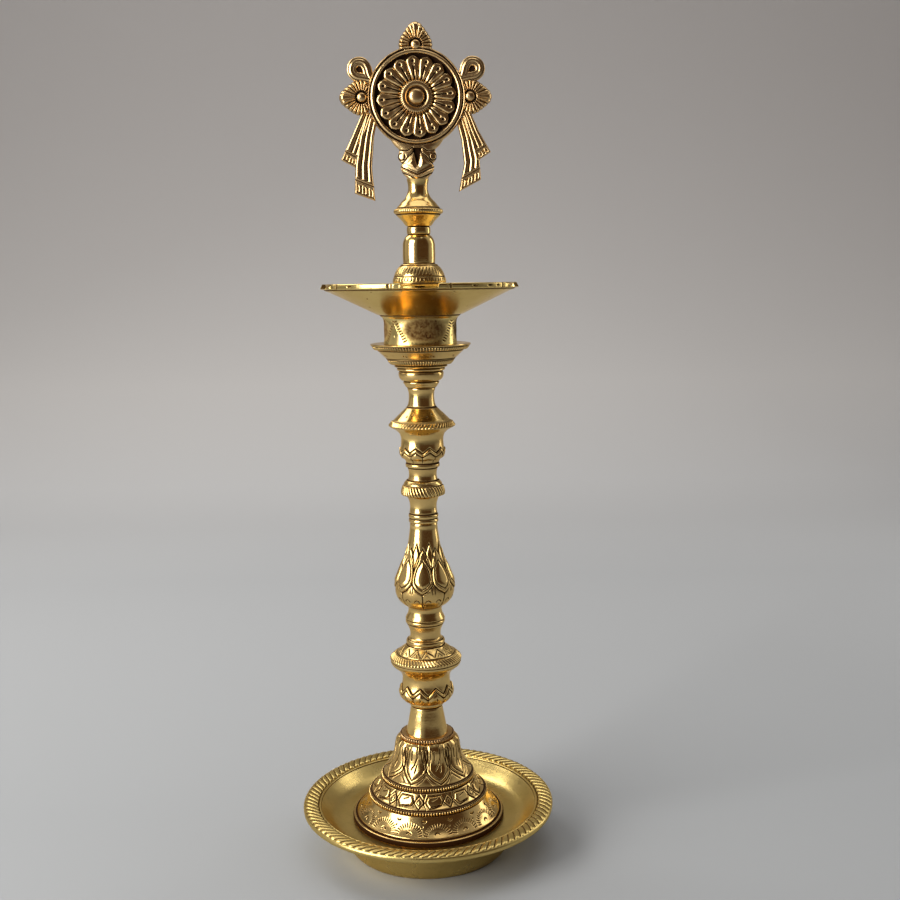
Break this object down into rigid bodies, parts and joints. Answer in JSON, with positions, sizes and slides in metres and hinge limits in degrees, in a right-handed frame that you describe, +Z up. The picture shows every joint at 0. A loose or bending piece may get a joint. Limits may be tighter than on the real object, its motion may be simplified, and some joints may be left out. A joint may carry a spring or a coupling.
{
  "type": "standing oil lamp",
  "caption": "Standing brass oil lamp: drip tray, bell foot, turned stem in screwed sections, shallow dish with wick lips and a flat wheel finial with ribbons.",
  "frame": {"origin": "centre of the tray's foot ring, on the surface the lamp stands on", "axes": "+Z up the lamp's axis; the face of the wheel looks towards -Y, with the pictured front lip of the dish"},
  "size_m": [0.1434, 0.1434, 0.457],
  "materials": {
    "satin_brass": "satin, olive gold",
    "polished_brass": "polished, warm yellow",
    "antique_brass": "antiqued, dark patina in the recesses",
    "reddish_brass": "antiqued, reddish brown",
    "turned_brass": "as cut on the lathe"
  },
  "bodies": {
    "base": {"base_tray": "satin_brass", "bell_foot": "antique_brass", "tie_rod": "turned_brass", "tie_washer": "turned_brass", "tie_nut": "turned_brass", "collar_ring": "reddish_brass"},
    "lower_stem_lift": {"lower_stem_stud": "turned_brass"},
    "lower_section": {"lower_stem": "polished_brass"},
    "middle_stem_lift": {"middle_stem_stud": "turned_brass"},
    "middle_section": {"middle_stem": "polished_brass"},
    "upper_stem_lift": {"upper_stem_stud": "turned_brass"},
    "upper_section": {"upper_stem": "polished_brass", "capital_stud": "turned_brass", "saucer_capital": "antique_brass"},
    "dish_lift": {"dish_stud": "turned_brass"},
    "dish_section": {"oil_dish": "satin_brass"},
    "hub_lift": {"hub_stud": "turned_brass"},
    "hub_section": {"hub": "polished_brass"},
    "finial_lift": {"finial_stud": "turned_brass"},
    "finial_section": {"finial_collar": "polished_brass", "finial_baluster": "polished_brass", "wheel_plaque": "antique_brass"}
  },
  "joints": [
    {"name": "lower_stem_rise", "type": "slide", "parent": "base", "child": "lower_stem_lift", "axis": [0, 0, 1], "range_m": [0, 0.007]},
    {"name": "lower_stem_turn", "type": "hinge", "parent": "lower_stem_lift", "child": "lower_section", "pos_m": [0, 0, 0.067], "axis": [0, 0, 1], "range_deg": [0, 1260]},
    {"name": "middle_stem_rise", "type": "slide", "parent": "lower_section", "child": "middle_stem_lift", "axis": [0, 0, 1], "range_m": [0, 0.011]},
    {"name": "middle_stem_turn", "type": "hinge", "parent": "middle_stem_lift", "child": "middle_section", "pos_m": [0, 0, 0.1196], "axis": [0, 0, 1], "range_deg": [0, 1980]},
    {"name": "upper_stem_rise", "type": "slide", "parent": "middle_section", "child": "upper_stem_lift", "axis": [0, 0, 1], "range_m": [0, 0.01]},
    {"name": "upper_stem_turn", "type": "hinge", "parent": "upper_stem_lift", "child": "upper_section", "pos_m": [0, 0, 0.1892], "axis": [0, 0, 1], "range_deg": [0, 1800]},
    {"name": "dish_rise", "type": "slide", "parent": "upper_section", "child": "dish_lift", "axis": [0, 0, 1], "range_m": [0, 0.011]},
    {"name": "dish_turn", "type": "hinge", "parent": "dish_lift", "child": "dish_section", "pos_m": [0, 0, 0.2886], "axis": [0, 0, 1], "range_deg": [0, 1980]},
    {"name": "hub_rise", "type": "slide", "parent": "dish_section", "child": "hub_lift", "axis": [0, 0, 1], "range_m": [0, 0.01]},
    {"name": "hub_turn", "type": "hinge", "parent": "hub_lift", "child": "hub_section", "pos_m": [0, 0, 0.3196], "axis": [0, 0, 1], "range_deg": [0, 1800]},
    {"name": "finial_rise", "type": "slide", "parent": "hub_section", "child": "finial_lift", "axis": [0, 0, 1], "range_m": [0, 0.009]},
    {"name": "finial_turn", "type": "hinge", "parent": "finial_lift", "child": "finial_section", "pos_m": [0, 0, 0.3467], "axis": [0, 0, 1], "range_deg": [0, 2160]}
  ],
  "couplings": [
    {"joint": "lower_stem_turn", "follows": "lower_stem_rise", "rad_per_m": 3141.6},
    {"joint": "middle_stem_turn", "follows": "middle_stem_rise", "rad_per_m": 3141.6},
    {"joint": "upper_stem_turn", "follows": "upper_stem_rise", "rad_per_m": 3141.6},
    {"joint": "dish_turn", "follows": "dish_rise", "rad_per_m": 3141.6},
    {"joint": "hub_turn", "follows": "hub_rise", "rad_per_m": 3141.6},
    {"joint": "finial_turn", "follows": "finial_rise", "rad_per_m": 4188.8}
  ]
}
